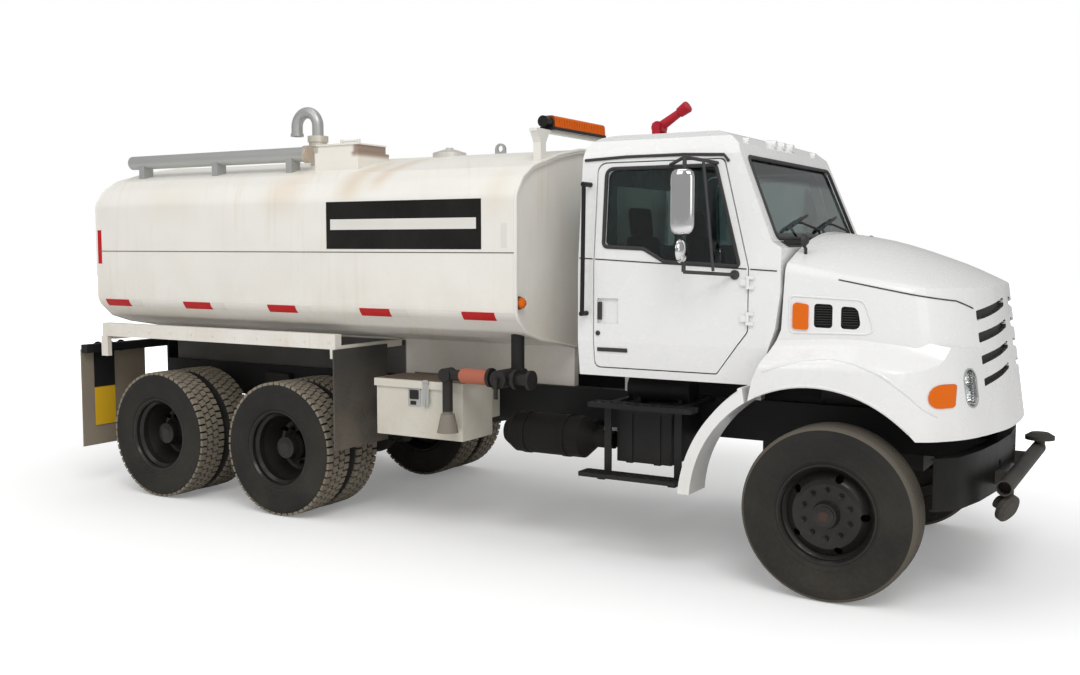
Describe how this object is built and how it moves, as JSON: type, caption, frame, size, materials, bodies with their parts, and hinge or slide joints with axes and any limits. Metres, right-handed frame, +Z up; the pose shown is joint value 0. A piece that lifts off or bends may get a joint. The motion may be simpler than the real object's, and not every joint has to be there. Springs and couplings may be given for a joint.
{
  "type": "water truck",
  "caption": "Three-axle conventional-cab water truck with a rounded tank, front spray bar, opening doors, tilting hood, steered wheels and a roof water monitor.",
  "frame": {"origin": "on the ground under the middle of the overall box", "axes": "+X forward along the truck, +Y to the driver's left, +Z up"},
  "size_m": [7.55, 2.728, 3.1941],
  "materials": {
    "cab_paint": "gloss white, light dust",
    "tank_paint": "aged cream white",
    "box_paint": "worn white",
    "chassis_paint": "dusty satin black",
    "bumper_paint": "gloss black",
    "dark_metal": "dusty black",
    "cast_metal": "grey cast",
    "muffler_steel": "heat darkened",
    "aluminium": "brushed",
    "glass": "tinted clear",
    "trim_plastic": "dark grained",
    "seat_fabric": "grey woven",
    "spray_metal": "dirty dark grey",
    "flap_rubber": "dusty",
    "galvanised": "dull galvanised",
    "rusty_steel": "rusted edge",
    "valve_iron": "black, with a red cylinder",
    "amber_lens": "amber lens",
    "lamp_glass": "clear lens",
    "monitor_red": "red",
    "mirror_chrome": "polished",
    "tyre": "dusty rubber",
    "wheel_paint": "gloss black"
  },
  "bodies": {
    "chassis": {"frame_rails": "chassis_paint", "crossmembers": "chassis_paint", "engine": "cast_metal", "radiator": "dark_metal", "front_axle": "dark_metal", "rear_axles": "dark_metal", "driveline": "dark_metal", "muffler": "muffler_steel", "fuel_tank": "aluminium", "cab_steps": "chassis_paint", "cab_body": "cab_paint", "cab_roof": "cab_paint", "cab_glass": "glass", "dashboard": "trim_plastic", "seats": "seat_fabric", "cab_skirts": "cab_paint", "grab_handles": "chassis_paint", "bumper": "bumper_paint", "spray_bar": "spray_metal", "tank": "tank_paint", "tank_sills": "tank_paint", "rear_fenders": "tank_paint", "mudflaps": "flap_rubber", "tank_pipes": "galvanised", "hatch": "rusty_steel", "toolbox": "box_paint", "side_valve": "valve_iron", "light_bar": "amber_lens", "rear_fittings": "chassis_paint", "monitor_riser": "tank_paint"},
    "hatch_lid": {"hatch_lid": "tank_paint"},
    "toolbox_lid": {"toolbox_lid": "box_paint"},
    "monitor_pan": {"monitor_body": "monitor_red"},
    "monitor_tip": {"monitor_nozzle": "monitor_red"},
    "hood": {"hood": "cab_paint", "grille_screen": "trim_plastic", "head_lamps": "lamp_glass", "amber_lamps": "amber_lens"},
    "door_right": {"door_right": "cab_paint", "door_glass_right": "glass", "mirror_right": "mirror_chrome"},
    "door_left": {"door_left": "cab_paint", "door_glass_left": "glass", "mirror_left": "mirror_chrome"},
    "steer_right": {"knuckle_right": "dark_metal"},
    "steer_left": {"knuckle_left": "dark_metal"},
    "front_wheel_right": {"tyre_front_right": "tyre", "wheel_front_right": "wheel_paint"},
    "front_wheel_left": {"tyre_front_left": "tyre", "wheel_front_left": "wheel_paint"},
    "mid_wheels_right": {"tyres_mid_right": "tyre", "wheels_mid_right": "wheel_paint"},
    "mid_wheels_left": {"tyres_mid_left": "tyre", "wheels_mid_left": "wheel_paint"},
    "rear_wheels_right": {"tyres_rear_right": "tyre", "wheels_rear_right": "wheel_paint"},
    "rear_wheels_left": {"tyres_rear_left": "tyre", "wheels_rear_left": "wheel_paint"}
  },
  "joints": [
    {"name": "hood_tilt", "type": "hinge", "parent": "chassis", "child": "hood", "pos_m": [3.56, 0, 1], "axis": [0, 1, 0], "range_deg": [0, 60]},
    {"name": "door_right_swing", "type": "hinge", "parent": "chassis", "child": "door_right", "pos_m": [2.221, -1.033, 1.75], "axis": [0, 0, 1], "range_deg": [0, 68]},
    {"name": "door_left_swing", "type": "hinge", "parent": "chassis", "child": "door_left", "pos_m": [2.221, 1.033, 1.75], "axis": [0, 0, -1], "range_deg": [0, 68]},
    {"name": "steer_right_turn", "type": "hinge", "parent": "chassis", "child": "steer_right", "pos_m": [2.765, -0.86, 0.52], "axis": [0, 0, 1], "range_deg": [-32, 32]},
    {"name": "steer_left_turn", "type": "hinge", "parent": "chassis", "child": "steer_left", "pos_m": [2.765, 0.86, 0.52], "axis": [0, 0, 1], "range_deg": [-32, 32]},
    {"name": "front_wheel_right_roll", "type": "hinge", "parent": "steer_right", "child": "front_wheel_right", "pos_m": [2.765, -1.05, 0.52], "axis": [0, 1, 0], "continuous": true},
    {"name": "front_wheel_left_roll", "type": "hinge", "parent": "steer_left", "child": "front_wheel_left", "pos_m": [2.765, 1.05, 0.52], "axis": [0, 1, 0], "continuous": true},
    {"name": "mid_wheels_right_roll", "type": "hinge", "parent": "chassis", "child": "mid_wheels_right", "pos_m": [-1.485, -0.915, 0.52], "axis": [0, 1, 0], "continuous": true},
    {"name": "mid_wheels_left_roll", "type": "hinge", "parent": "chassis", "child": "mid_wheels_left", "pos_m": [-1.485, 0.915, 0.52], "axis": [0, 1, 0], "continuous": true},
    {"name": "rear_wheels_right_roll", "type": "hinge", "parent": "chassis", "child": "rear_wheels_right", "pos_m": [-2.815, -0.915, 0.52], "axis": [0, 1, 0], "continuous": true},
    {"name": "rear_wheels_left_roll", "type": "hinge", "parent": "chassis", "child": "rear_wheels_left", "pos_m": [-2.815, 0.915, 0.52], "axis": [0, 1, 0], "continuous": true},
    {"name": "toolbox_lid_lift", "type": "hinge", "parent": "chassis", "child": "toolbox_lid", "pos_m": [-0.206, -0.71, 1.117], "axis": [-1, 0, 0], "range_deg": [0, 45]},
    {"name": "hatch_lid_lift", "type": "hinge", "parent": "chassis", "child": "hatch_lid", "pos_m": [-1.14, -0.5, 2.856], "axis": [-1, 0, 0], "range_deg": [0, 100]},
    {"name": "monitor_turn", "type": "hinge", "parent": "chassis", "child": "monitor_pan", "pos_m": [0.865, 0.64, 2.905], "axis": [0, 0, 1], "range_deg": [-60, 60]},
    {"name": "monitor_raise", "type": "hinge", "parent": "monitor_pan", "child": "monitor_tip", "pos_m": [0.865, 0.64, 3.005], "axis": [0, -1, 0], "range_deg": [-15, 40]}
  ],
  "couplings": [
    {"joint": "steer_left_turn", "follows": "steer_right_turn", "ratio": 1}
  ]
}
